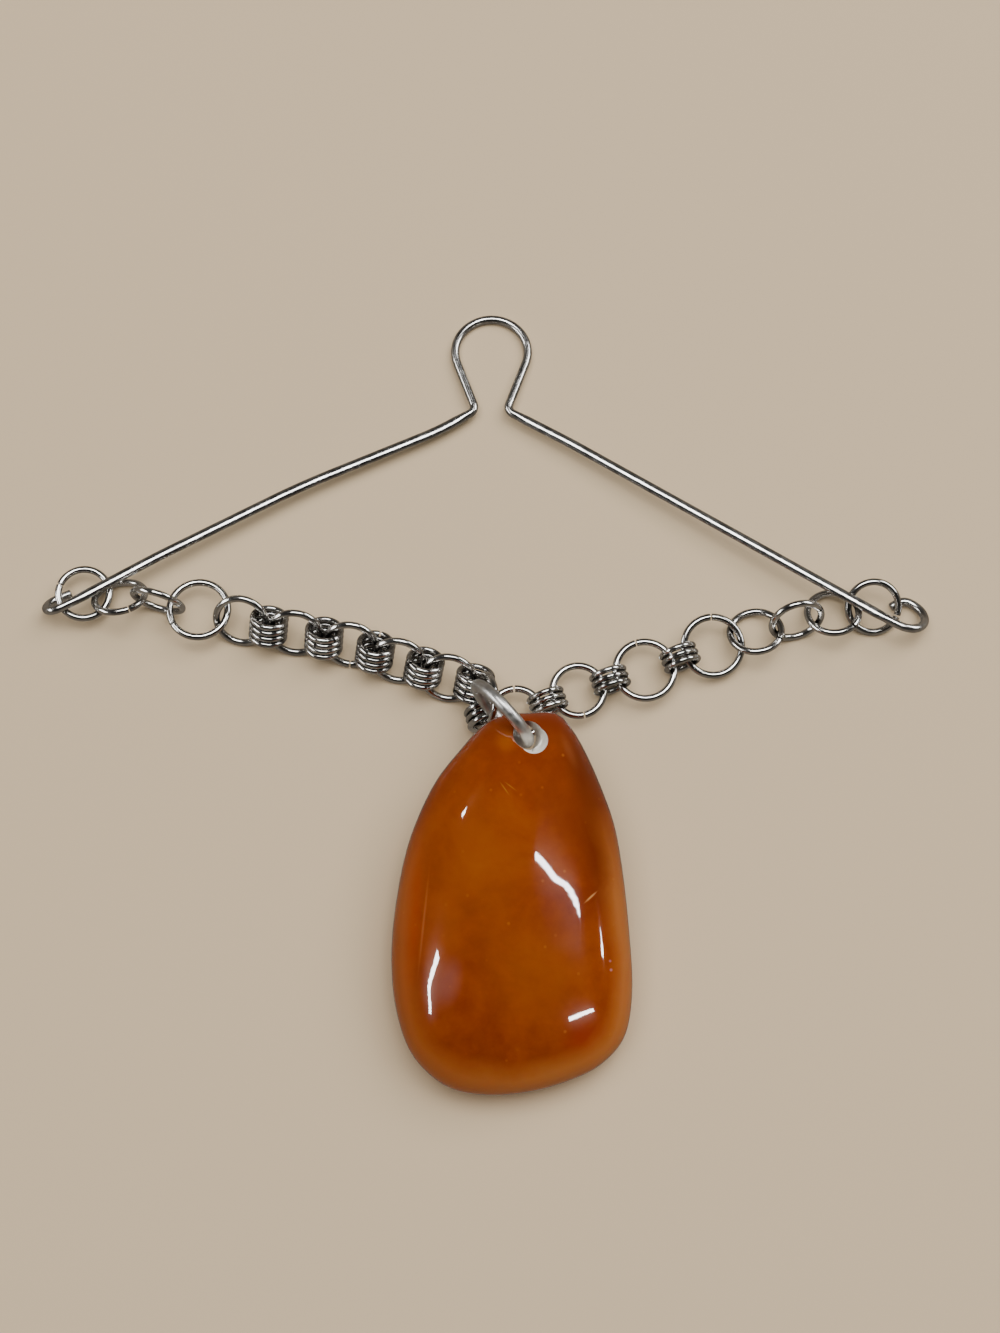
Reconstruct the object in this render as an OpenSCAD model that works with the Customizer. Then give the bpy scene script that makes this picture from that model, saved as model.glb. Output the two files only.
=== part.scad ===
// Amber pendant tie chain: a bent wire hanger, a ring chain and an amber drop.
// X runs along the chain, Y towards the top of the button loop, Z up from the surface it lies on.
// The origin is the middle of the button loop, at the height of that surface.

/* [Hanger wire] */
// Radius of the button loop, to the middle of the wire
loop_r = 3.4; // [3.2:0.05:3.6]
// Diameter of the round wire in the loop and the hooks
loop_wire = 0.78; // [0.7:0.02:0.8]
// Width of the flattened wire in the arms
arm_w = 0.94; // [0.8:0.02:1.0]
// Thickness of the flattened wire in the arms
arm_t = 0.6; // [0.5:0.02:0.7]
// Slope of the hanger, from the top of its loop up to its hooks
hanger_slope = 4.15; // [4.0:0.05:4.2]

/* [Chain rings] */
// Outside diameter of most plain chain rings
link_d = 5.23; // [5.15:0.02:5.25]
// Outside diameter of the widest plain chain rings
wide_link_d = 5.88; // [5.8:0.02:5.9]
// Wire of a plain chain ring
link_wire = 0.64; // [0.56:0.02:0.64]
// Outside diameter of a small coupling ring
small_d = 3.52; // [3.45:0.01:3.55]
// Wire of a small coupling ring
small_wire = 0.53; // [0.46:0.01:0.54]
// Spacing of the small rings in a coupler
small_pitch = 0.64; // [0.6:0.01:0.66]

/* [Pendant] */
// Outside diameter of the thick jump ring that carries the drop
pendant_ring_d = 7.6; // [7.4:0.05:7.8]
// Wire of that jump ring
pendant_wire = 1.1; // [1.0:0.05:1.2]
// Height of the drop's dome above its girdle
dome_top = 4.5; // [4.0:0.1:5.0]
// Depth of the drop's back below its girdle
dome_back = 3.8; // [3.0:0.1:4.0]
// Drilled hole through the drop
bore_d = 2.8; // [2.7:0.05:2.9]
// Tilt of the drop, whose drilled end is raised
drop_tilt = 8; // [7:0.5:9]

/* [Hidden] */
LINKS_COUNT = 18;
COUPLERS_COUNT = 9;
function two_digits(n) = n < 10 ? str("0", n) : str(n);

circle_fn = 48;

// Each plain ring: x and y of its middle, outside diameter, heading of its level diameter,
// tilt about that diameter (north side up), lift of its lowest point above the surface
LINK_ROWS = [
    [-36.9, -23.9, link_d, 90, 4, 1.0],
    [-33.6, -24.3, link_d, 10, -38, 0.0],
    [-30.0, -24.9, link_d, -16, 88, 0.0],
    [-26.4, -25.5, wide_link_d, -15, -4, 1.3],
    [-22.5, -26.6, link_d, -11, 48, 0.0],
    [-17.6, -27.8, link_d, -4, 56, 0.0],
    [-12.6, -28.9, link_d, -6, 56, 0.0],
    [-8.3, -30.4, link_d, -8, 56, 0.0],
    [-3.8, -31.95, link_d, -7, 51, 0.0],
    [-0.6, -34.5, link_d, -86, 65, 1.37],
    [2.24, -35.1, link_d, 15, 0, 1.2],
    [7.8, -33.0, link_d, 16, 0, 1.3],
    [13.8, -31.1, wide_link_d, 16, 0, 1.3],
    [19.95, -28.85, wide_link_d, 20, 12, 0.7],
    [23.85, -27.5, link_d, 18, -24, 0.3],
    [27.45, -26.7, link_d, 14, 67, 0.0],
    [30.9, -25.7, link_d, 10, -22, 0.3],
    [34.6, -25.1, link_d, 6, 25, 0.0],
];

// Each coupler: x and y of its middle, how many small rings it has, heading across the
// stack, tilt of the stack (north end up), lift of its lowest point above the surface
COUPLER_ROWS = [
    [-20.0, -27.2, 4, -12, 52, 0.2],
    [-15.0, -28.3, 4, -10, 56, 0.3],
    [-10.4, -29.6, 4, -15, 56, 0.3],
    [-6.0, -31.1, 4, -18, 55, 0.3],
    [-1.53, -32.5, 4, -14, 45, 0.1],
    [-0.56, -35.4, 3, 15, -8, 0.0],
    [5.05, -34.1, 3, 20, 0, 0.0],
    [10.65, -32.1, 3, 18, 0, 0.1],
    [16.95, -30.0, 3, 20, 0, 0.1],
];

// Wire run from the top of the loop to a hook: straight length, bend radius, bend angle,
// roll before the bend, width, thickness. The left run is mirrored.
RIGHT_RUN = [
    [0, loop_r, -110, 0, loop_wire, loop_wire],
    [4.5, 0.8, 80.5, 0, loop_wire, loop_wire],
    [5, 60, -2, 0, arm_w, arm_t],
    [32.4, 10, 4, 0, arm_w, arm_t],
    [0.3, 1.85, 180, -31, loop_wire, loop_wire],
    [0.1, 1.2, 60, -36, loop_wire, loop_wire],
    [0.6, 1, 0, 0, loop_wire, loop_wire],
];
LEFT_RUN = [
    [0, loop_r, -110, 0, loop_wire, loop_wire],
    [4.5, 0.8, 79, 0, loop_wire, loop_wire],
    [2, 25, 7, 0, arm_w, arm_t],
    [9, 80, -4.5, 0, arm_w, arm_t],
    [10, 80, -2, 0, arm_w, arm_t],
    [7.5, 10, 4, 0, arm_w, arm_t],
    [0.3, 1.1, 185, -45, loop_wire, loop_wire],
    [1.4, 1, 0, 0, loop_wire, loop_wire],
];

module wire_section(width, thickness) {
    if (width <= thickness)
        circle(d = thickness, $fn = circle_fn);
    else
        union() {
            square([width - thickness, thickness], center = true);
            for (side = [-1, 1])
                translate([side * (width - thickness) / 2, 0])
                    circle(d = thickness, $fn = circle_fn);
        }
}

// A short sleeve, thicker by a hair, that makes two lengths of the wire one solid
seam_length = 0.06;
seam_rise = 0.01;

module seam(width, thickness) {
    translate([-seam_length / 2, 0, 0])
        rotate([90, 0, 90])
            linear_extrude(seam_length)
                wire_section(width + seam_rise, thickness + seam_rise);
}

// A straight piece of wire along +X, then a bend to the left, or to the right if negative,
// then the rest of the rows from where the bend ends
module wire_run(rows, i = 0) {
    if (i < len(rows)) {
        length = rows[i][0];
        radius = rows[i][1];
        turn = abs(rows[i][2]);
        roll = rows[i][3];
        width = rows[i][4];
        thickness = rows[i][5];
        if (i > 0)
            seam(width, thickness);
        if (length > 0 && turn > 0)
            translate([length, 0, 0]) seam(width, thickness);
        if (length > 0)
            rotate([90, 0, 90])
                linear_extrude(length)
                    wire_section(width, thickness);
        translate([length, 0, 0])
            rotate([roll, 0, 0])
                mirror([0, rows[i][2] < 0 ? 1 : 0, 0]) {
                    if (turn > 0)
                        translate([0, radius, 0])
                            rotate([0, 0, -90])
                                rotate_extrude(angle = turn, $fn = circle_fn)
                                    translate([radius, 0])
                                        wire_section(width, thickness);
                    translate([radius * sin(turn), radius * (1 - cos(turn)), 0])
                        rotate([0, 0, turn])
                            mirror([0, rows[i][2] < 0 ? 1 : 0, 0])
                                wire_run(rows, i + 1);
                }
    }
}

module hanger_wire() {
    color("silver")
        translate([0, loop_r, loop_wire / 2])
            rotate([-hanger_slope, 0, 0]) {
                wire_run(RIGHT_RUN);
                mirror([1, 0, 0]) wire_run(LEFT_RUN);
            }
}

module ring(outside, wire) {
    rotate_extrude($fn = circle_fn)
        translate([(outside - wire) / 2, 0])
            circle(d = wire, $fn = circle_fn);
}

function link_middle(row) = [
    row[0],
    row[1],
    (row[2] - link_wire) / 2 * sin(abs(row[4])) + link_wire / 2 + row[5]
];

module chain_link(row) {
    color("silver")
        translate(link_middle(row))
            rotate([0, 0, row[3]])
                rotate([row[4], 0, 0])
                    ring(row[2], link_wire);
}

function coupler_middle(row) = [
    row[0],
    row[1],
    (small_d - small_wire) / 2 * cos(row[4]) + small_wire / 2
        + (row[2] - 1) / 2 * small_pitch * sin(abs(row[4])) + row[5]
];

// A stack of small rings around the wires of two neighbouring plain rings
module coupler(row) {
    color("silver")
        translate(coupler_middle(row))
            rotate([0, 0, row[3]])
                rotate([row[4], 0, 0])
                    for (i = [0:row[2] - 1])
                        translate([0, (i - (row[2] - 1) / 2) * small_pitch, 0])
                            rotate([90, 0, 0])
                                ring(small_d, small_wire);
}

// Middle of the pendant ring, heading of its level diameter and lean from level
PENDANT_RING_AT = [1.0, -36.5, 7.25];
PENDANT_RING_HEADING = -47;
PENDANT_RING_LEAN = 90;

module pendant_ring() {
    color("silver")
        translate(PENDANT_RING_AT)
            rotate([0, 0, PENDANT_RING_HEADING])
                rotate([PENDANT_RING_LEAN, 0, 0])
                    ring(pendant_ring_d, pendant_wire);
}

// Outline of the drop around the middle of its broad end, clockwise from the drilled end
DROP_OUTLINE = [
    [1.4, 19.1], [3.8, 19.1], [5.1, 17.9], [6.4, 15.7], [7.8, 12.5], [8.9, 9.2], [9.6, 5.0],
    [10.1, 0], [10.3, -4.6], [9.7, -8.4], [7.9, -10.7], [5.4, -12.1], [1.7, -13.2],
    [-2.3, -13.5], [-5.7, -12.7], [-8.5, -10.1], [-9.9, -6.2], [-10.3, -1.5], [-9.8, 3.6],
    [-8.7, 8.4], [-6.7, 12.9], [-4.6, 15.7], [-2.6, 17.9], [-0.8, 18.9],
];
DROP_AT = [1.8, -55.3];
curve_steps = 3;
dome_rows = 9;
dome_power = 2.2;

function curve_point(a, b, c, d, t) =
    ((-a + 3 * b - 3 * c + d) * pow(t, 3) + (2 * a - 5 * b + 4 * c - d) * pow(t, 2)
    + (c - a) * t + 2 * b) / 2;

function closed_curve(points, steps) = [
    for (i = [0:len(points) - 1], s = [0:steps - 1])
        let (n = len(points))
            curve_point(points[(i + n - 1) % n], points[i], points[(i + 1) % n],
                        points[(i + 2) % n], s / steps)
];

// Share of the outline and share of the height, row by row from the back to the top
function dome_share(row) = cos(90 * row / dome_rows);
function dome_height(row) =
    pow(1 - pow(dome_share(row), dome_power), 1 / dome_power);

function drop_points(outline) = concat(
    [[0, 0, -dome_back]],
    [for (row = [-dome_rows + 1:dome_rows - 1], p = outline)
        let (height = dome_height(abs(row)))
            [p.x * dome_share(abs(row)), p.y * dome_share(abs(row)),
             row < 0 ? -dome_back * height : dome_top * height]],
    [[0, 0, dome_top]]
);

function drop_faces(around, rows) = concat(
    [for (i = [0:around - 1]) [0, 1 + (i + 1) % around, 1 + i]],
    [for (row = [0:rows - 2], i = [0:around - 1])
        let (low = 1 + row * around, high = low + around, next = (i + 1) % around)
            each [[low + i, low + next, high + next], [low + i, high + next, high + i]]],
    [for (i = [0:around - 1])
        [1 + rows * around, 1 + (rows - 1) * around + i, 1 + (rows - 1) * around + (i + 1) % around]]
);

drop_outline = closed_curve(DROP_OUTLINE, curve_steps);
drop_mesh = drop_points(drop_outline);
drop_rest = -min([for (p = drop_mesh) p.y * sin(drop_tilt) + p.z * cos(drop_tilt)]);

// The hole: where its axis meets the drop's girdle, and how its axis leans
BORE_AT = [1.2, 16.9];
BORE_LEAN = [0, 8];
bore_length = 20;

module amber_drop() {
    color("darkorange")
        translate([DROP_AT.x, DROP_AT.y, drop_rest])
            rotate([drop_tilt, 0, 0])
                difference() {
                    polyhedron(drop_mesh, drop_faces(len(drop_outline), 2 * dome_rows - 1));
                    translate([BORE_AT.x, BORE_AT.y, 0])
                        rotate([BORE_LEAN.x, BORE_LEAN.y, 0])
                            cylinder(h = bore_length, d = bore_d, center = true, $fn = circle_fn);
                }
}

hanger_wire();
pendant_ring();
amber_drop();
for (i = [1:LINKS_COUNT])
    chain_link(LINK_ROWS[i - 1]);
for (i = [1:COUPLERS_COUNT])
    coupler(COUPLER_ROWS[i - 1]);
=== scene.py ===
# The looks of the amber tie chain: silver-plated wire, its ring chain and the polished amber drop.
import math
import bpy
import numpy as np
from mathutils import Matrix, Vector


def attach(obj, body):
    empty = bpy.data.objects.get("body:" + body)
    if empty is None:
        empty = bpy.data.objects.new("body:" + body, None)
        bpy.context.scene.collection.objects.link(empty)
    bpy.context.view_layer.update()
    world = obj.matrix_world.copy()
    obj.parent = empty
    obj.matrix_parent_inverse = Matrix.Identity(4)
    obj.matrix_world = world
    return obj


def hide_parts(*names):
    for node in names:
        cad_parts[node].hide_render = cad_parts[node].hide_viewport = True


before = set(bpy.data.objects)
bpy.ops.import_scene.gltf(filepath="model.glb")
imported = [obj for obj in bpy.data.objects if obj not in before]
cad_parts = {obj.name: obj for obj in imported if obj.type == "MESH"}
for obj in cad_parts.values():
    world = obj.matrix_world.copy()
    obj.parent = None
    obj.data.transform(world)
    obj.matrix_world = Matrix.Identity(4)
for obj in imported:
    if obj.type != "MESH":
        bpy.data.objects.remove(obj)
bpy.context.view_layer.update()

MM = 0.001

# Corners that lie closer together than this are one
TOUCHING = 0.001 * MM

# The camera, as the photograph sees the piece: nearly from above. Its elevation is in degrees, its
# lens and sensor in millimetres
CAMERA_ELEVATION = 75
CAMERA_DISTANCE = 200 * MM
CAMERA_TARGET = Vector((0.8, -30.6, 1.0)) * MM
CAMERA_LENS = 60
CAMERA_SENSOR = 36
CAMERA_NEAR = 1 * MM
CAMERA_FAR = 10

# The rings: the sides and steps of their round wire, the gap at the cut where each was closed, and
# the angle in degrees past which an edge of any wire stays sharp
RING_SIDES = 16
RING_STEPS = 80
CUT_WIDTH = 0.18 * MM
WIRE_CREASE = 50

# Where the cuts are: the azimuth in degrees from +X in the rings whose cut the photograph shows.
# In the others it turns on from one node to the next, and further from ring to ring of a stack
SHOWN_CUTS = {"link_12": -79, "link_13": 105, "link_14": 92, "link_15": -32, "link_17": -48}
HIDDEN_CUT_STEP = 137.5
STACK_CUT_STEP = 3 * HIDDEN_CUT_STEP

# The hanger wire in millimetres: the loop's radius to the middle of its round wire, that wire, the
# width and thickness of the arms that are rolled flat, and, in degrees, its slope down to the hooks
LOOP_R = 3.4
LOOP_WIRE = 0.78
ARM_W = 0.94
ARM_T = 0.6
HANGER_SLOPE = 4.15

# Each half of it, from the top of the loop to the tip of its hook. The columns are the straight
# length, the radius of the bend after it, the bend's angle, the roll of the wire before the bend,
# in millimetres and degrees, and whether that length is rolled flat
RIGHT_RUN = [
    (0, LOOP_R, -110, 0, False),
    (4.5, 0.8, 80.5, 0, False),
    (5, 60, -2, 0, True),
    (32.4, 10, 4, 0, True),
    (0.3, 1.85, 180, -31, False),
    (0.1, 1.2, 60, -36, False),
    (0.6, 1, 0, 0, False),
]
LEFT_RUN = [
    (0, LOOP_R, -110, 0, False),
    (4.5, 0.8, 79, 0, False),
    (2, 25, 7, 0, True),
    (9, 80, -4.5, 0, True),
    (10, 80, -2, 0, True),
    (7.5, 10, 4, 0, True),
    (0.3, 1.1, 185, -45, False),
    (1.4, 1, 0, 0, False),
]

# How the hanger is made: the sides of its wire, the longest step in millimetres and the widest in
# degrees round a bend, the length in which round wire turns flat, and the rounding of its cut ends
WIRE_SIDES = 24
BEND_STEP = 0.25
BEND_STEP_ANGLE = 6
ROLL_LENGTH = 1.5
ROLL_STEPS = 6
END_CREASE = 70
END_ROUNDING = 0.09 * MM

# The amber drop: the middle of its girdle, its tilt in degrees, and its two domes. The girdle is
# read from the CAD node's corners within a thin band
DROP_AT = Vector((1.8, -55.3, 4.31)) * MM
DROP_TILT = 8
DOME_TOP = 4.5 * MM
DOME_BACK = 3.8 * MM
DOME_POWER = 2.2
DOME_ROWS = 36
GIRDLE_POINTS = 160
GIRDLE_BAND = 0.03 * MM
DROP_CREASE = 40

# The drilled hole, in the drop's own frame: its middle, lean in degrees and radius. Its mouth is
# worn wider on the lower right side, in the shape of a cone
BORE_AT = Vector((1.1, 17.0, 0)) * MM
BORE_LEAN = 8
BORE_R = 1.28 * MM
BORE_LENGTH = 20 * MM
BORE_SIDES = 64
MOUTH_AT = Vector((1.9, 16.7, 2.3)) * MM
MOUTH_LOW_R = 0.75 * MM
MOUTH_TOP_R = 1.55 * MM
MOUTH_DEPTH = 2.3 * MM
BORE_CREASE = 35
BORE_EDGE = 0.06 * MM

# Cut ends and the hole's edges are rounded in this many steps
EDGE_STEPS = 3

# The silver plate: the width of its worn patches in grains, the depth of its nicks, and the painted shade
# that darkens its colour where neighbours or the floor come within this distance. Openness is the share
# of its surroundings that the plate sees, where it is unshaded and where the painted shade is full
PATCH_GRAINS = 4
NICK_DEPTH = 0.02 * MM
SHADE_REACH = 1.2 * MM
UNSHADED_OPENNESS = 0.85
FULLY_SHADED_OPENNESS = 0.4
RECESS_SHADE_TONE = "#262422"

# The amber's clouds and veils with their tones, its crumbs, and the low waves of its surface. A tint
# is a strength and the tone that is mixed in
CLOUD_SIZE = 7 * MM
CLOUD_TONES = [(0.3, "#702200"), (0.48, "#823000"), (0.62, "#903C00"), (0.75, "#9C4A02")]
VEIL_SIZE = 2.2 * MM
VEIL_TONES = [(0.35, "#782800"), (0.6, "#903E00")]
VEIL_SHARE = 0.4
CRUMB_SPACING = 1.5 * MM
CRUMB_TINT = (0.4, "#C07028")
WAVE_SIZE = 5 * MM
WAVE_DEPTH = 0.25 * MM

# Its pale rim, a painted glow of light coming through the thin edge: how far above or below the girdle
# the painted glow is full and where it is gone, how much that wavers, and the same for the glow of the
# very edge
RIM_FULL = 2.7 * MM
RIM_GONE = 3.7 * MM
RIM_WAVER = 1.2 * MM
RIM_GLOW_TINT = (0.6, "#A8541E")
RIGHT_GLOW_TINT = (0.36, "#C0803E")
EDGE_GLOW_FULL = 0.5 * MM
EDGE_GLOW_GONE = 1.8 * MM
EDGE_GLOW_TINT = (0.2, "#C89058")

# The painted glow of the rim is faint near the hole and full further down, and paler towards the right.
# These are the places along and across the drop where it is faintest and fullest
RIM_FAINT_Y = 11 * MM
RIM_FULL_Y = 3 * MM
RIM_FAINT_X = -12 * MM
RIM_FULL_X = 2 * MM
RIM_LEAST = 0.1

# Patches in the amber, some of them painted light, shade, highlights and a reflection: middle and half
# size in millimetres in the drop's own frame, turn in degrees, strength, colour
AMBER_PATCHES = [
    ((-2.8, 6.0, 0), (6.5, 10.0, 20), 10, 0.42, "#A05206"),
    ((2.0, -3.0, 0), (7.0, 6.5, 20), 0, 0.42, "#A05204"),
    # Painted light: the left side lighter, as if lit from there
    ((-6.2, 0, 0), (3.2, 8.0, 20), 0, 0.45, "#A04E06"),
    ((3.4, 18.8, 0), (5.4, 3.4, 20), 0, 0.95, "#661A04"),
    # Painted shade: darker right of the hole
    ((6.2, 14.2, 0), (2.4, 6.5, 20), 20, 0.90, "#521404"),
    ((4.9, 15.6, 0), (0.6, 2.4, 20), 22, 0.22, "#A0603A"),
    # Painted shade on the upper right side, in this row and the next
    ((7.5, 7.5, 0), (2.8, 9.5, 20), 12, 0.75, "#5A1A00"),
    ((4.6, 10.0, 0), (3.4, 6.5, 20), 15, 0.45, "#742E06"),
    ((-0.5, 16.4, 0), (1.3, 1.5, 20), 0, 0.35, "#B06008"),
    ((6.1, -8.5, 0), (2.8, 1.9, 20), 22, 0.70, "#8C2608"),
    ((-8.4, 1.0, 0), (1.0, 10.0, 20), -4, 0.45, "#A83400"),
    # A painted highlight: the thin pale line inside the left rim
    ((-7.45, 1.0, 0), (0.18, 5.8, 20), -6, 0.45, "#B46838"),
    # A painted reflection: the soft halo beside the left highlight
    ((-5.3, -4.0, 4.0), (1.6, 3.0, 2), -12, 0.34, "#94605A"),
    # A painted highlight at the lower end of the long highlight
    ((6.65, 3.15, 3.4), (0.95, 0.12, 3), 42, 0.80, "#D8A060"),
    # Painted glints, in this row and the next
    ((8.28, -2.19, 2.75), (0.16, 0.16, 1), 0, 0.80, "#B07880"),
    ((8.36, -2.94, 2.7), (0.18, 0.18, 1), 0, 0.80, "#C08888"),
    # Painted highlights: two thin streaks at the upper end of the long highlight
    ((-0.6, 12.3, 3.6), (0.9, 0.09, 3), -55, 0.50, "#B4823C"),
    ((-0.1, 12.5, 3.6), (0.8, 0.08, 3), -38, 0.45, "#B4823C"),
]

# The hole's wall, chalky where drilled, with painted light and shade: the side painted pale as if lit, as
# a heading in degrees, where across the hole it starts and is full, the chalk's grain, and the darker
# amber painted in shade elsewhere
LIT_SIDE_HEADING = -35
LIT_SIDE_START = -0.3 * MM
LIT_SIDE_FULL = 0.2 * MM
CHALK_GRAIN = 0.4 * MM
LIT_CHALK_TONES = [(0.35, "#F0EADC"), (0.65, "#FBF8F0")]
SHADED_WALL_AMBER = "#7A3004"

# The floor in metres, and the pale backdrop that the camera sees past its edge
FLOOR_SIZE = 1.6
FLOOR_MIDDLE = Vector((0, -30, 0)) * MM
FLOOR_TONE = "#DAC29F"
BACKDROP = "#CFC3B2"

# The dim studio round the stage, which the wire and the amber mirror, from its horizon upwards
STUDIO_TONES = [(0.0, "#A89C8C"), (0.35, "#6A655E"), (0.7, "#3A3835"), (1.0, "#1A1A1A")]
STUDIO_STRENGTH = 0.5

# The lights. Directions are seen from just above the drop. Each light has the two ends that it
# reaches between, its width in degrees, its radiance, and what it shines on: soft boxes light what
# is matt, strips show in the polish of the amber, and metal boxes show in the wire
LIGHT_MIDDLE = Vector((1.8, -52, 8)) * MM
LIGHT_DISTANCE = 1.0
LIGHTS = [
    ("soft_box_right", (0.1, 0.5, 0.85), (0.75, 0.2, 0.65), 45, 4.0, "matt"),
    ("soft_box_above", (-0.5, 0.1, 0.87), (0.3, 0.1, 0.95), 50, 4.0, "matt"),
    ("strip_long", (0.18, 0.02, 0.983), (0.56, -0.05, 0.827), 1.2, 90.0, "amber"),
    ("strip_left", (-0.565, -0.14, 0.813), (-0.675, -0.25, 0.694), 2.4, 90.0, "amber"),
    ("strip_left_low", (-0.675, -0.25, 0.694), (-0.67, -0.39, 0.632), 2.4, 90.0, "amber"),
    ("strip_right", (0.79, -0.034, 0.612), (0.807, -0.05, 0.588), 1.8, 90.0, "amber"),
    ("strip_low", (0.308, -0.54, 0.783), (0.595, -0.405, 0.694), 2.2, 90.0, "amber"),
    ("strip_small", (-0.476, 0.312, 0.822), (-0.466, 0.285, 0.838), 1.6, 90.0, "amber"),
    ("metal_box_above", (-0.3, 0.25, 0.92), (0.35, 0.2, 0.92), 16, 14.0, "metal"),
    ("metal_box_right", (0.5, 0.6, 0.6), (0.85, 0.1, 0.5), 14, 10.0, "metal"),
    ("metal_box_left", (-0.85, 0.35, 0.4), (-0.75, -0.4, 0.5), 12, 10.0, "metal"),
]

# The pieces that the strips and the metal boxes show in
polished_pieces = {kind: bpy.data.collections.new(kind + "_pieces") for kind in ("amber", "metal")}

# The places of a Mix node's sockets when it mixes colours
MIX_SHARE, MIX_FROM, MIX_TO, MIX_RESULT = 0, 6, 7, 2


def linear(hex_colour):
    """An sRGB hex colour as the linear colour that a shader takes."""
    parts = [int(hex_colour[i:i + 2], 16) / 255 for i in (1, 3, 5)]
    return tuple(p / 12.92 if p <= 0.04045 else ((p + 0.055) / 1.055) ** 2.4 for p in parts) + (1,)


def add(tree, kind, inputs=None, stops=(), **settings):
    """A node with its settings, its inputs set or linked, and a ramp's stops as place and colour."""
    made = tree.nodes.new(kind)
    for name, value in settings.items():
        setattr(made, name, value)
    for name, value in (inputs or {}).items():
        if isinstance(value, bpy.types.NodeSocket):
            tree.links.new(value, made.inputs[name])
        else:
            made.inputs[name].default_value = value
    if stops:
        elements = made.color_ramp.elements
        while len(elements) < len(stops):
            elements.new(0.5)
        for element, (place, hex_colour) in zip(elements, stops):
            element.position = place
            element.color = linear(hex_colour)
    return made


def new_material(name):
    """A material with an empty node tree, and that tree."""
    made = bpy.data.materials.new(name)
    made.use_nodes = True
    made.node_tree.nodes.clear()
    return made, made.node_tree


def tint(tree, colour, share, strength, hex_colour):
    """The colour with another one mixed in, by a share between 0 and 1 and a strength."""
    part = add(tree, "ShaderNodeMath", {0: share, 1: strength}, operation="MULTIPLY").outputs["Value"]
    mixed = add(tree, "ShaderNodeMix", {
        MIX_SHARE: part, MIX_FROM: colour, MIX_TO: linear(hex_colour),
    }, data_type="RGBA")
    return mixed.outputs[MIX_RESULT]


def plated_wire(name, colour, dull_colour, roughness, grain, scratch_strength, recess_shade):
    """Silver-plated brass wire, drawn and polished: bright, greyer where worn, with fine nicks.
    The recess shade, from 0 to 1, is painted shade: it darkens the colour where neighbours or the floor
    are near."""
    made, tree = new_material(name)
    place = add(tree, "ShaderNodeTexCoord").outputs["Object"]
    worn = add(tree, "ShaderNodeTexNoise", {
        "Vector": place, "Scale": 1 / (PATCH_GRAINS * grain), "Detail": 4.0,
    })
    nicks = add(tree, "ShaderNodeTexNoise", {"Vector": place, "Scale": 1 / grain, "Detail": 2.0})
    tone = add(tree, "ShaderNodeValToRGB", {"Fac": worn.outputs["Fac"]}, [
        (0.35, dull_colour), (0.6, colour),
    ]).outputs["Color"]
    if recess_shade:
        # Painted shade: the plate's colour darkens where neighbours or the floor close it in
        openness = add(tree, "ShaderNodeAmbientOcclusion", {"Distance": SHADE_REACH}, samples=4)
        shaded_share = add(tree, "ShaderNodeMapRange", {
            "Value": openness.outputs["AO"], "From Min": UNSHADED_OPENNESS, "From Max": FULLY_SHADED_OPENNESS,
        }).outputs["Result"]
        tone = tint(tree, tone, shaded_share, recess_shade, RECESS_SHADE_TONE)
    rough = add(tree, "ShaderNodeMapRange", {
        "Value": nicks.outputs["Fac"], "From Min": 0.3, "From Max": 0.7,
        "To Min": roughness * 0.8, "To Max": roughness * 1.3,
    })
    bump = add(tree, "ShaderNodeBump", {
        "Height": nicks.outputs["Fac"], "Strength": scratch_strength, "Distance": NICK_DEPTH,
    })
    shader = add(tree, "ShaderNodeBsdfPrincipled", {
        "Base Color": tone, "Metallic": 1.0, "Roughness": rough.outputs["Result"],
        "Normal": bump.outputs["Normal"],
    })
    add(tree, "ShaderNodeOutputMaterial", {"Surface": shader.outputs["BSDF"]})
    return made


def patch(tree, place, centre, size, turn):
    """A soft patch in the amber: 1 in its middle, 0 at the edge of an ellipse, in millimetres."""
    own = add(tree, "ShaderNodeMapping", {
        "Vector": place, "Location": Vector(centre) * MM, "Rotation": (0, 0, math.radians(turn)),
        "Scale": Vector(size) * MM,
    }, vector_type="TEXTURE").outputs["Vector"]
    reach = add(tree, "ShaderNodeVectorMath", {0: own}, operation="LENGTH").outputs["Value"]
    return add(tree, "ShaderNodeMapRange", {
        "Value": reach, "From Min": 0.1, "From Max": 1.0, "To Min": 1.0, "To Max": 0.0,
    }, interpolation_type="SMOOTHSTEP").outputs["Result"]


def cloudy_tone(tree, own, clouds):
    """The amber's body: clouds, redder veils, patches that include painted light, shade, highlights and a
    reflection, and crumbs a few tenths of a millimetre wide.
    """
    veils = add(tree, "ShaderNodeTexNoise", {
        "Vector": own, "Scale": 1 / VEIL_SIZE, "Detail": 6.0, "Roughness": 0.7,
    }).outputs["Fac"]
    body = add(tree, "ShaderNodeValToRGB", {"Fac": clouds}, CLOUD_TONES).outputs["Color"]
    veil = add(tree, "ShaderNodeValToRGB", {"Fac": veils}, VEIL_TONES).outputs["Color"]
    tone = add(tree, "ShaderNodeMix", {
        MIX_SHARE: VEIL_SHARE, MIX_FROM: body, MIX_TO: veil,
    }, data_type="RGBA").outputs[MIX_RESULT]
    for centre, size, turn, strength, hex_colour in AMBER_PATCHES:
        tone = tint(tree, tone, patch(tree, own, centre, size, turn), strength, hex_colour)

    cells = add(tree, "ShaderNodeTexVoronoi", {"Vector": own, "Scale": 1 / CRUMB_SPACING})
    crumbs = add(tree, "ShaderNodeMapRange", {
        "Value": cells.outputs["Distance"], "From Min": 0.12, "From Max": 0.05,
    }).outputs["Result"]
    chosen = add(tree, "ShaderNodeSeparateColor", {"Color": cells.outputs["Color"]}).outputs["Red"]
    shown = add(tree, "ShaderNodeMath", {0: crumbs, 1: chosen}, operation="MULTIPLY").outputs["Value"]
    return tint(tree, tone, shown, *CRUMB_TINT)


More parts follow.
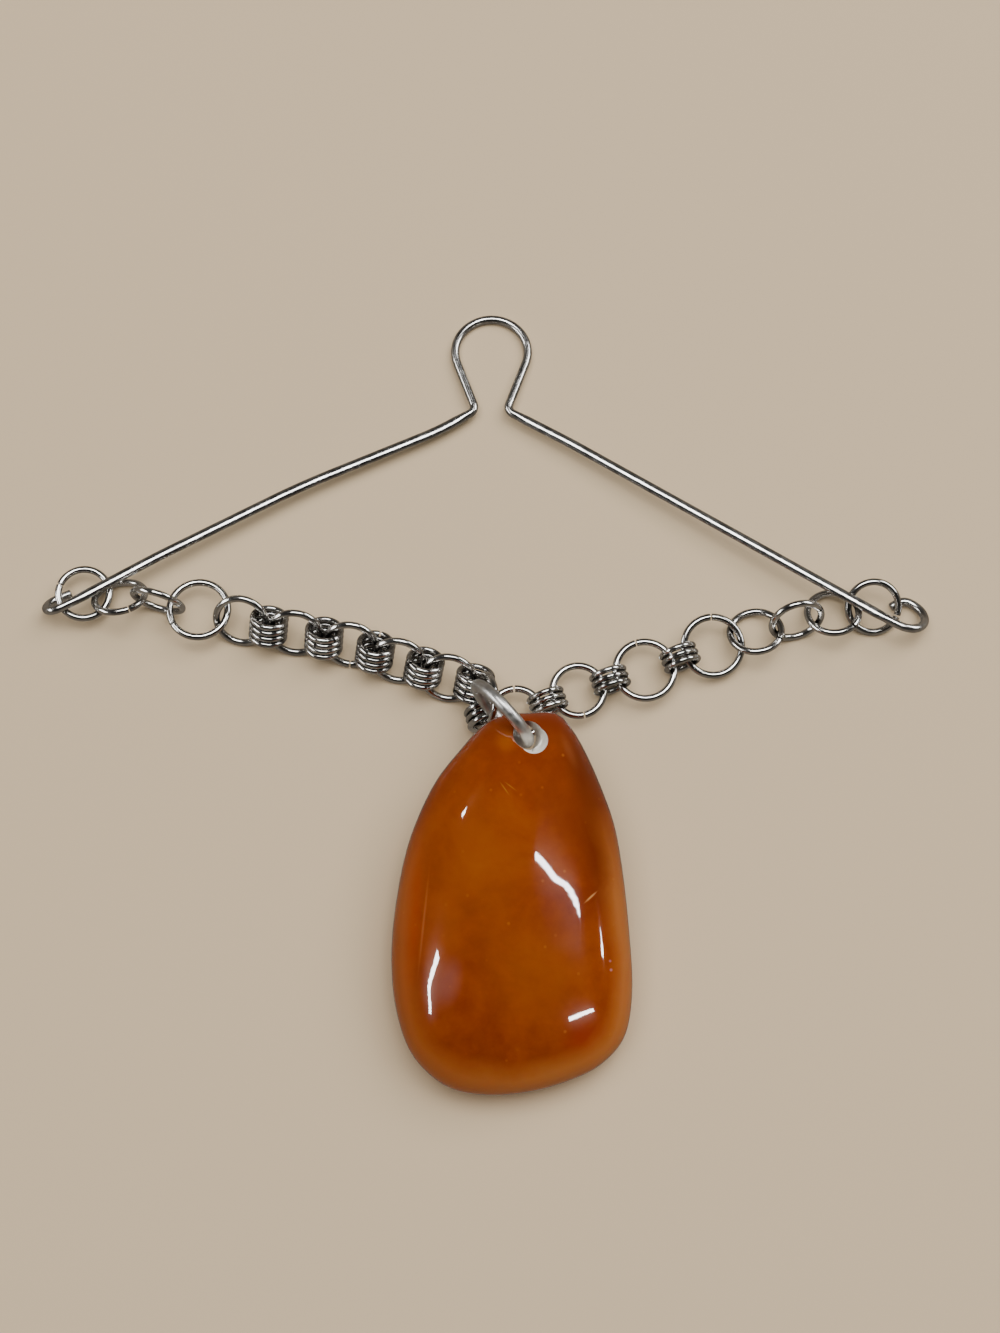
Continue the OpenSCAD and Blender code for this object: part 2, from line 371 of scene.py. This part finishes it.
def with_pale_rim(tree, tone, own, clouds):
    """The tone with the drop's thin edge paler, where light comes through, in a wavering band."""
    axes = add(tree, "ShaderNodeSeparateXYZ", {"Vector": own})
    height = add(tree, "ShaderNodeMath", {0: axes.outputs["Z"]}, operation="ABSOLUTE").outputs["Value"]
    wavering = add(tree, "ShaderNodeMath", {
        0: clouds, 1: RIM_WAVER, 2: height,
    }, operation="MULTIPLY_ADD").outputs["Value"]
    band = add(tree, "ShaderNodeMapRange", {
        "Value": wavering, "From Min": RIM_GONE, "From Max": RIM_FULL,
    }).outputs["Result"]
    edge_glow = add(tree, "ShaderNodeMapRange", {
        "Value": height, "From Min": EDGE_GLOW_GONE, "From Max": EDGE_GLOW_FULL,
    }).outputs["Result"]
    low = add(tree, "ShaderNodeMapRange", {
        "Value": axes.outputs["Y"], "From Min": RIM_FAINT_Y, "From Max": RIM_FULL_Y,
        "To Min": RIM_LEAST,
    }).outputs["Result"]
    right = add(tree, "ShaderNodeMapRange", {
        "Value": axes.outputs["X"], "From Min": RIM_FAINT_X, "From Max": RIM_FULL_X,
        "To Min": RIM_LEAST,
    }).outputs["Result"]
    rim = add(tree, "ShaderNodeMath", {0: band, 1: low}, operation="MULTIPLY").outputs["Value"]
    right_rim = add(tree, "ShaderNodeMath", {0: rim, 1: right}, operation="MULTIPLY").outputs["Value"]
    edge = add(tree, "ShaderNodeMath", {0: edge_glow, 1: low}, operation="MULTIPLY").outputs["Value"]
    # Painted glow of light through the thin edge, paler towards the right
    tone = tint(tree, tone, rim, *RIM_GLOW_TINT)
    tone = tint(tree, tone, right_rim, *RIGHT_GLOW_TINT)
    return tint(tree, tone, edge, *EDGE_GLOW_TINT)


def polished_amber(name):
    """Honey amber, ground and polished: cloudy brown under a clear gloss, lighter at its thin edge."""
    made, tree = new_material(name)
    place = add(tree, "ShaderNodeTexCoord").outputs["Object"]
    own = add(tree, "ShaderNodeMapping", {
        "Vector": place, "Location": DROP_AT, "Rotation": (math.radians(DROP_TILT), 0, 0),
    }, vector_type="TEXTURE").outputs["Vector"]
    clouds = add(tree, "ShaderNodeTexNoise", {
        "Vector": own, "Scale": 1 / CLOUD_SIZE, "Detail": 5.0, "Roughness": 0.6, "Distortion": 0.6,
    }).outputs["Fac"]
    tone = with_pale_rim(tree, cloudy_tone(tree, own, clouds), own, clouds)
    waves = add(tree, "ShaderNodeTexNoise", {"Vector": own, "Scale": 1 / WAVE_SIZE, "Detail": 2.0})
    bump = add(tree, "ShaderNodeBump", {
        "Height": waves.outputs["Fac"], "Strength": 0.25, "Distance": WAVE_DEPTH,
    })
    shader = add(tree, "ShaderNodeBsdfPrincipled", {
        "Base Color": tone, "Roughness": 0.22, "IOR": 1.54, "Specular IOR Level": 0.055,
        "Normal": bump.outputs["Normal"],
        "Subsurface Weight": 0.25, "Subsurface Radius": (1.0, 0.25, 0.05), "Subsurface Scale": 1.2 * MM,
        "Coat Weight": 1.0, "Coat Roughness": 0.03,
    })
    add(tree, "ShaderNodeOutputMaterial", {"Surface": shader.outputs["BSDF"]})
    return made


def drilled_wall(name):
    """Drilled amber, matt and chalky: painted pale as if lit on the hole's lower right side, and painted
    in shade as darker amber elsewhere.
    """
    made, tree = new_material(name)
    place = add(tree, "ShaderNodeTexCoord").outputs["Object"]
    own = add(tree, "ShaderNodeMapping", {
        "Vector": place, "Location": DROP_AT + BORE_AT, "Rotation": (0, 0, math.radians(LIT_SIDE_HEADING)),
    }, vector_type="TEXTURE").outputs["Vector"]
    across = add(tree, "ShaderNodeSeparateXYZ", {"Vector": own}).outputs["X"]
    # Painted light and shade: the pale lit side, and darker amber in shade elsewhere
    lit_share = add(tree, "ShaderNodeMapRange", {
        "Value": across, "From Min": LIT_SIDE_START, "From Max": LIT_SIDE_FULL,
    }).outputs["Result"]
    chalk_noise = add(tree, "ShaderNodeTexNoise", {
        "Vector": place, "Scale": 1 / CHALK_GRAIN, "Detail": 4.0,
    }).outputs["Fac"]
    pale = add(tree, "ShaderNodeValToRGB", {"Fac": chalk_noise}, LIT_CHALK_TONES).outputs["Color"]
    tone = add(tree, "ShaderNodeMix", {
        MIX_SHARE: lit_share, MIX_FROM: linear(SHADED_WALL_AMBER), MIX_TO: pale,
    }, data_type="RGBA").outputs[MIX_RESULT]
    bump = add(tree, "ShaderNodeBump", {"Height": chalk_noise, "Strength": 0.3, "Distance": 0.05 * MM})
    shader = add(tree, "ShaderNodeBsdfPrincipled", {
        "Base Color": tone, "Roughness": 0.6, "Normal": bump.outputs["Normal"],
    })
    add(tree, "ShaderNodeOutputMaterial", {"Surface": shader.outputs["BSDF"]})
    return made


def pale_floor(name):
    """A plain pale matt surface under the piece."""
    made, tree = new_material(name)
    shader = add(tree, "ShaderNodeBsdfPrincipled", {"Base Color": linear(FLOOR_TONE), "Roughness": 0.75})
    add(tree, "ShaderNodeOutputMaterial", {"Surface": shader.outputs["BSDF"]})
    return made


def select_only(piece):
    """Selects one piece and nothing else."""
    bpy.ops.object.select_all(action="DESELECT")
    piece.select_set(True)
    bpy.context.view_layer.objects.active = piece


def finish_piece(piece, material, slot, *nodes):
    """Gives a piece its material, puts it among the amber or the metal pieces by its slot, puts it on the
    body and lets it stand for its nodes.
    """
    if material.name not in piece.data.materials:
        piece.data.materials.append(material)
    polished_pieces["amber" if slot == "amber" else "metal"].objects.link(piece)
    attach(piece, "root")
    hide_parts(*nodes)


def smooth(piece, crease):
    """Smooth shading, apart from edges sharper than the crease angle."""
    select_only(piece)
    bpy.ops.object.shade_smooth_by_angle(angle=math.radians(crease))


def ring_pattern(name, middle_r, wire_r):
    """A ring of round wire round Z, bent from +X and cut there, where its two ends meet."""
    bpy.ops.object.select_all(action="DESELECT")
    bpy.ops.mesh.primitive_circle_add(
        vertices=RING_SIDES, radius=wire_r, location=(middle_r, 0, 0), rotation=(math.pi / 2, 0, 0))
    ring = bpy.context.active_object
    ring.name = name
    bpy.ops.object.mode_set(mode="EDIT")
    bpy.ops.mesh.select_all(action="SELECT")
    bpy.ops.mesh.spin(
        steps=RING_STEPS, angle=2 * math.pi - CUT_WIDTH / middle_r, center=(0, 0, 0), axis=(0, 0, 1))
    bpy.ops.mesh.select_all(action="SELECT")
    bpy.ops.mesh.fill_holes(sides=RING_SIDES)
    bpy.ops.mesh.select_all(action="SELECT")
    bpy.ops.mesh.normals_make_consistent(inside=False)
    bpy.ops.object.mode_set(mode="OBJECT")
    bpy.ops.object.transform_apply(location=True, rotation=True, scale=True)
    smooth(ring, WIRE_CREASE)
    return ring


def loose_parts(node):
    """The corners of each loose solid in a CAD node, from a merged copy that is deleted again."""
    copy = bpy.data.objects.new("measured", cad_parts[node].data.copy())
    bpy.context.scene.collection.objects.link(copy)
    select_only(copy)
    bpy.ops.object.mode_set(mode="EDIT")
    bpy.ops.mesh.select_all(action="SELECT")
    bpy.ops.mesh.remove_doubles(threshold=TOUCHING)
    bpy.ops.mesh.separate(type="LOOSE")
    bpy.ops.object.mode_set(mode="OBJECT")
    parts = list(bpy.context.selected_objects)
    corners = [np.array([v.co for v in part.data.vertices]) for part in parts]
    for part in parts:
        bpy.data.objects.remove(part)
    return corners


def ring_place(corners, cut_azimuth):
    """Where a CAD ring lies: its middle and turn with the cut at that azimuth, and its two radii."""
    middle = (corners.min(0) + corners.max(0)) / 2
    offsets = corners - middle
    directions = np.linalg.eigh(offsets.T @ offsets)[1]
    axis = Vector(directions[:, 0])
    if axis.z < 0:
        axis = -axis
    along = offsets @ np.array(axis)
    wire_r = (along.max() - along.min()) / 2
    outside_r = np.sqrt((offsets ** 2).sum(1) - along ** 2).max()
    azimuth = math.radians(cut_azimuth)
    to_cut = Vector((math.cos(azimuth), math.sin(azimuth), 0))
    to_cut = (to_cut - axis * to_cut.dot(axis)).normalized()
    across = axis.cross(to_cut)
    turn = Matrix((to_cut, across, axis)).transposed().to_4x4()
    return Matrix.Translation(Vector(middle)) @ turn, outside_r - wire_r, wire_r


def build_rings(chain_metal, jump_ring_metal):
    """Every ring of the chain, one piece for each CAD node, with the cut that closed it."""
    patterns = {}
    names = sorted(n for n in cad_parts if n.startswith(("link_", "coupler_", "pendant_ring")))
    for count, node in enumerate(names):
        rings = []
        for index, corners in enumerate(loose_parts(node)):
            hidden_cut = HIDDEN_CUT_STEP * count + STACK_CUT_STEP * index
            place, middle_r, wire_r = ring_place(corners, SHOWN_CUTS.get(node, hidden_cut))
            key = (round(middle_r / MM, 1), round(wire_r / MM, 2))
            if key not in patterns:
                patterns[key] = ring_pattern("ring_pattern_%d" % len(patterns), middle_r, wire_r)
            ring = patterns[key].copy()
            ring.data = patterns[key].data.copy()
            bpy.context.scene.collection.objects.link(ring)
            ring.data.transform(place)
            rings.append(ring)
        piece = rings[0]
        if len(rings) > 1:
            select_only(piece)
            for ring in rings:
                ring.select_set(True)
            bpy.ops.object.join()
        piece.name = node + "_wire"
        if node == "pendant_ring":
            finish_piece(piece, jump_ring_metal, "jump_ring_silver", node)
        else:
            finish_piece(piece, chain_metal, "chain_silver", node)
    for pattern in patterns.values():
        bpy.data.objects.remove(pattern)


def draw_out(at, length, width=1, thickness=1, steps=1):
    """Draws the selected end of the wire straight on, and rolls it flatter or rounder on the way."""
    for _ in range(steps):
        move = at.col[0].xyz * length * MM / steps
        bpy.ops.mesh.extrude_region_move(TRANSFORM_OT_translate={"value": move})
        at = at @ Matrix.Translation((length * MM / steps, 0, 0))
        bpy.ops.transform.resize(
            value=(1, width ** (1 / steps), thickness ** (1 / steps)), orient_type="GLOBAL",
            orient_matrix=at.to_3x3(), orient_matrix_type="GLOBAL", center_override=at.translation)
    return at


def bend_round(at, radius, turn):
    """Bends the selected end of the wire round a former, to its left where the angle is positive."""
    side = 1 if turn > 0 else -1
    angle = abs(math.radians(turn))
    former = at @ Vector((0, side * radius * MM, 0))
    steps = math.ceil(max(angle * radius / BEND_STEP, math.degrees(angle) / BEND_STEP_ANGLE))
    bpy.ops.mesh.spin(steps=steps, angle=-angle, center=former, axis=at.col[2].xyz * side)
    move = Vector((math.sin(angle), side * (1 - math.cos(angle)), 0)) * radius * MM
    return at @ Matrix.Translation(move) @ Matrix.Rotation(side * angle, 4, "Z")


def build_run(name, rows, mirrored):
    """One half of the hanger, drawn and bent from the top of the loop to the tip of its hook."""
    bpy.ops.object.select_all(action="DESELECT")
    bpy.ops.mesh.primitive_circle_add(
        vertices=WIRE_SIDES, radius=LOOP_WIRE / 2 * MM, rotation=(0, math.pi / 2, 0))
    run = bpy.context.active_object
    run.name = name
    bpy.ops.object.transform_apply(location=True, rotation=True, scale=True)
    bpy.ops.object.mode_set(mode="EDIT")
    bpy.ops.mesh.select_mode(type="VERT")
    bpy.ops.mesh.select_all(action="SELECT")
    at = Matrix.Identity(4)
    wider, thinner = ARM_W / LOOP_WIRE, ARM_T / LOOP_WIRE
    was_flat = False
    flat_next = [row[-1] for row in rows[1:]] + [False]
    for (length, radius, turn, roll, flat), stays_flat in zip(rows, flat_next):
        if flat and not was_flat:
            at = draw_out(at, ROLL_LENGTH, wider, thinner, ROLL_STEPS)
            length -= ROLL_LENGTH
        if flat and not stays_flat:
            at = draw_out(at, length - ROLL_LENGTH)
            at = draw_out(at, ROLL_LENGTH, 1 / wider, 1 / thinner, ROLL_STEPS)
        elif length:
            at = draw_out(at, length)
        at = at @ Matrix.Rotation(math.radians(roll), 4, "X")
        if turn:
            at = bend_round(at, radius, turn)
        was_flat = flat
    bpy.ops.mesh.edge_face_add()
    if mirrored:
        bpy.ops.mesh.select_all(action="SELECT")
        bpy.ops.transform.resize(value=(-1, 1, 1), center_override=(0, 0, 0))
    bpy.ops.object.mode_set(mode="OBJECT")
    run.location = (0, LOOP_R * MM, LOOP_WIRE / 2 * MM)
    run.rotation_euler = (-math.radians(HANGER_SLOPE), 0, 0)
    bpy.ops.object.transform_apply(location=True, rotation=True, scale=True)
    return run


def build_hanger(material):
    """The hanger wire: both halves joined at the top of the loop, with rounded cut ends."""
    hanger = build_run("hanger_wire_bent", RIGHT_RUN, False)
    left = build_run("hanger_left", LEFT_RUN, True)
    select_only(hanger)
    left.select_set(True)
    bpy.ops.object.join()
    bpy.ops.object.mode_set(mode="EDIT")
    bpy.ops.mesh.select_all(action="SELECT")
    bpy.ops.mesh.remove_doubles(threshold=TOUCHING)
    bpy.ops.mesh.normals_make_consistent(inside=False)
    bpy.ops.mesh.select_all(action="DESELECT")
    bpy.ops.mesh.edges_select_sharp(sharpness=math.radians(END_CREASE))
    bpy.ops.mesh.bevel(offset=END_ROUNDING, segments=EDGE_STEPS)
    bpy.ops.object.mode_set(mode="OBJECT")
    smooth(hanger, WIRE_CREASE)
    finish_piece(hanger, material, "silver_wire", "hanger_wire")


def girdle_radius():
    """The drop's outline, read from its CAD node: the radius round its girdle for any angle."""
    level = Matrix.Rotation(-math.radians(DROP_TILT), 3, "X")
    widest = {}
    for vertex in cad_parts["amber_drop"].data.vertices:
        own = level @ (vertex.co - DROP_AT)
        if abs(own.z) < GIRDLE_BAND:
            angle = round(math.atan2(own.y, own.x), 3)
            widest[angle] = max(math.hypot(own.x, own.y), widest.get(angle, 0))
    angles = np.array(sorted(widest))
    radii = np.array([widest[a] for a in angles])
    count = len(angles)

    def radius_at(angle):
        """A smooth curve through the four corners nearest to the angle."""
        i = int(np.searchsorted(angles, angle)) - 1
        start = angles[i] if i >= 0 else angles[-1] - 2 * math.pi
        end = angles[(i + 1) % count] + (2 * math.pi if i + 1 >= count else 0)
        t = (angle - start) / (end - start)
        a, b, c, d = (radii[(i + k) % count] for k in (-1, 0, 1, 2))
        cubic = (-a + 3 * b - 3 * c + d) * t ** 3 + (2 * a - 5 * b + 4 * c - d) * t ** 2
        return (cubic + (c - a) * t + 2 * b) / 2

    return radius_at


def draw_dome(height):
    """Draws the selected girdle up, or down, into a dome, ring by ring to its top."""
    share, level = 1, 0
    for row in range(1, DOME_ROWS):
        next_share = math.cos(math.pi / 2 * row / DOME_ROWS)
        next_level = height * (1 - next_share ** DOME_POWER) ** (1 / DOME_POWER)
        shrink = next_share / share
        bpy.ops.mesh.extrude_region_move(TRANSFORM_OT_translate={"value": (0, 0, next_level - level)})
        bpy.ops.transform.resize(value=(shrink, shrink, 1), center_override=(0, 0, 0))
        share, level = next_share, next_level
    bpy.ops.mesh.extrude_region_move(TRANSFORM_OT_translate={"value": (0, 0, height - level)})
    bpy.ops.mesh.merge(type="CENTER")


def domed_stone(name):
    """The drop before it is drilled, level and in the middle: a girdle drawn into two domes."""
    radius_at = girdle_radius()
    bpy.ops.object.select_all(action="DESELECT")
    bpy.ops.mesh.primitive_circle_add(vertices=GIRDLE_POINTS, radius=1)
    stone = bpy.context.active_object
    stone.name = name
    for corner in stone.data.vertices:
        angle = math.atan2(corner.co.y, corner.co.x)
        corner.co = Vector((math.cos(angle), math.sin(angle), 0)) * radius_at(angle)
    for height in (DOME_TOP, -DOME_BACK):
        for corner in stone.data.vertices:
            corner.select = abs(corner.co.z) < TOUCHING
        bpy.ops.object.mode_set(mode="EDIT")
        bpy.ops.mesh.select_mode(type="VERT")
        draw_dome(height)
        bpy.ops.mesh.select_all(action="DESELECT")
        bpy.ops.object.mode_set(mode="OBJECT")
    bpy.ops.object.mode_set(mode="EDIT")
    bpy.ops.mesh.select_all(action="SELECT")
    bpy.ops.mesh.remove_doubles(threshold=TOUCHING)
    bpy.ops.mesh.normals_make_consistent(inside=False)
    bpy.ops.object.mode_set(mode="OBJECT")
    return stone


def cut_away(stone, cutter, wall_material):
    """Cuts the cutter out of the stone, whose new walls take the wall's material."""
    cutter.data.materials.append(wall_material)
    select_only(stone)
    cut = stone.modifiers.new("cut", "BOOLEAN")
    cut.operation = "DIFFERENCE"
    cut.object = cutter
    cut.solver = "EXACT"
    cut.material_mode = "TRANSFER"
    bpy.ops.object.modifier_apply(modifier=cut.name)
    bpy.data.objects.remove(cutter)


def build_drop(amber, wall_material):
    """The amber drop: its stone drilled, the hole's mouth worn wider and its edges softened."""
    stone = domed_stone("amber_stone")
    stone.data.materials.append(amber)
    stone.data.materials.append(wall_material)

    bpy.ops.object.select_all(action="DESELECT")
    bpy.ops.mesh.primitive_cylinder_add(
        vertices=BORE_SIDES, radius=BORE_R, depth=BORE_LENGTH, location=BORE_AT,
        rotation=(0, math.radians(BORE_LEAN), 0))
    cut_away(stone, bpy.context.active_object, wall_material)

    bpy.ops.object.select_all(action="DESELECT")
    bpy.ops.mesh.primitive_cone_add(
        vertices=BORE_SIDES, radius1=MOUTH_LOW_R, radius2=MOUTH_TOP_R, depth=MOUTH_DEPTH,
        location=MOUTH_AT)
    cut_away(stone, bpy.context.active_object, wall_material)

    bpy.ops.object.mode_set(mode="EDIT")
    bpy.ops.mesh.select_all(action="DESELECT")
    bpy.ops.mesh.edges_select_sharp(sharpness=math.radians(BORE_CREASE))
    bpy.ops.mesh.bevel(offset=BORE_EDGE, segments=EDGE_STEPS)
    bpy.ops.object.mode_set(mode="OBJECT")
    stone.data.transform(Matrix.Translation(DROP_AT) @ Matrix.Rotation(math.radians(DROP_TILT), 4, "X"))
    smooth(stone, DROP_CREASE)
    finish_piece(stone, amber, "amber", "amber_drop")


def build_floor():
    """The plain pale floor. It stays out of reflections: the wire mirrors the dim studio instead."""
    bpy.ops.object.select_all(action="DESELECT")
    bpy.ops.mesh.primitive_plane_add(size=FLOOR_SIZE, location=FLOOR_MIDDLE)
    floor = bpy.context.active_object
    floor.name = "floor"
    floor.data.materials.append(pale_floor("pale_floor"))
    floor.visible_glossy = False


def build_camera():
    """The camera at the photograph's viewing angle."""
    elevation = math.radians(CAMERA_ELEVATION)
    back = Vector((0, -math.cos(elevation), math.sin(elevation)))
    bpy.ops.object.camera_add(location=CAMERA_TARGET + back * CAMERA_DISTANCE)
    camera = bpy.context.active_object
    camera.rotation_euler = (-back).to_track_quat("-Z", "Y").to_euler()
    camera.data.lens = CAMERA_LENS
    camera.data.sensor_width = CAMERA_SENSOR
    camera.data.clip_start = CAMERA_NEAR
    camera.data.clip_end = CAMERA_FAR
    bpy.context.scene.camera = camera


def add_light(name, start, end, width, radiance, shines_on):
    """A strip or a box that is seen from the drop between two directions, so many degrees wide."""
    start, end = start.normalized(), end.normalized()
    towards = (start + end).normalized()
    bpy.ops.object.light_add(type="AREA", location=LIGHT_MIDDLE + towards * LIGHT_DISTANCE)
    light = bpy.context.active_object
    light.name = name
    light.visible_glossy = shines_on != "matt"
    light.visible_diffuse = shines_on == "matt"
    if shines_on != "matt":
        light.light_linking.receiver_collection = polished_pieces[shines_on]
    along = (end - start).normalized()
    across = towards.cross(along)
    turn = Matrix((along, across, along.cross(across))).transposed().to_4x4()
    light.matrix_world = Matrix.Translation(light.location) @ turn
    light.data.shape = "RECTANGLE"
    light.data.size = (end - start).length * LIGHT_DISTANCE
    light.data.size_y = math.radians(width) * LIGHT_DISTANCE
    light.data.energy = radiance * math.pi * light.data.size * light.data.size_y


def build_studio():
    """What surrounds the stage: dim where it is mirrored, and the pale backdrop to the camera."""
    world = bpy.data.worlds.new("studio")
    bpy.context.scene.world = world
    world.use_nodes = True
    tree = world.node_tree
    tree.nodes.clear()
    sky = add(tree, "ShaderNodeTexCoord").outputs["Generated"]
    height = add(tree, "ShaderNodeSeparateXYZ", {"Vector": sky}).outputs["Z"]
    tone = add(tree, "ShaderNodeValToRGB", {"Fac": height}, STUDIO_TONES).outputs["Color"]
    dim = add(tree, "ShaderNodeBackground", {"Color": tone, "Strength": STUDIO_STRENGTH})
    pale = add(tree, "ShaderNodeBackground", {"Color": linear(BACKDROP)})
    to_camera = add(tree, "ShaderNodeLightPath").outputs["Is Camera Ray"]
    around = add(tree, "ShaderNodeMixShader", {
        0: to_camera, 1: dim.outputs["Background"], 2: pale.outputs["Background"],
    })
    add(tree, "ShaderNodeOutputWorld", {"Surface": around.outputs["Shader"]})


chain_metal = plated_wire(
    "plated_chain_wire", "#E8E6E2", "#B4B2AF",
    roughness=0.16, grain=0.5 * MM, scratch_strength=0.03, recess_shade=0.95)
jump_ring_metal = plated_wire(
    "plated_jump_ring", "#E4E2DE", "#C8C6C3",
    roughness=0.36, grain=0.5 * MM, scratch_strength=0.03, recess_shade=0)
hanger_metal = plated_wire(
    "plated_hanger_wire", "#E2E0DC", "#B0AEAB",
    roughness=0.2, grain=0.35 * MM, scratch_strength=0.04, recess_shade=0)

build_rings(chain_metal, jump_ring_metal)
build_hanger(hanger_metal)
build_drop(polished_amber("polished_amber"), drilled_wall("drilled_wall"))
build_floor()
build_camera()
for name, start, end, width, radiance, shines_on in LIGHTS:
    add_light(name, Vector(start), Vector(end), width, radiance, shines_on)
build_studio()
